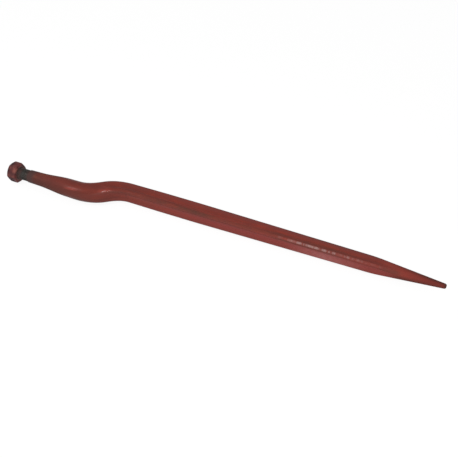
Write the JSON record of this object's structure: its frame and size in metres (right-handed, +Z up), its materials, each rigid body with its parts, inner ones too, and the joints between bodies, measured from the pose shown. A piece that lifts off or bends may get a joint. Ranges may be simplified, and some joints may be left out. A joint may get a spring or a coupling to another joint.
{
  "type": "loader tine",
  "caption": "Cranked loader tine: a ribbed forged bar with a drawn point, a sideways bend, a conical seat and a threaded stud with a hex nut.",
  "frame": {"origin": "on the shank's axis, where the thread ends and the conical seat begins", "axes": "+X along the shank towards the point, +Z up; the crank steps to +Y, 2.7 degrees below level, as the tine lies at rest"},
  "size_m": [0.82, 0.0668, 0.037],
  "materials": {
    "red_paint": "dark red gloss paint over forged steel, worn at the conical seat",
    "thread_steel": "bare oiled steel on the cut thread",
    "nut_paint": "dark red gloss paint over a forged nut"
  },
  "bodies": {
    "root": {"tine": "red_paint", "hex_nut": "nut_paint"}
  },
  "joints": []
}
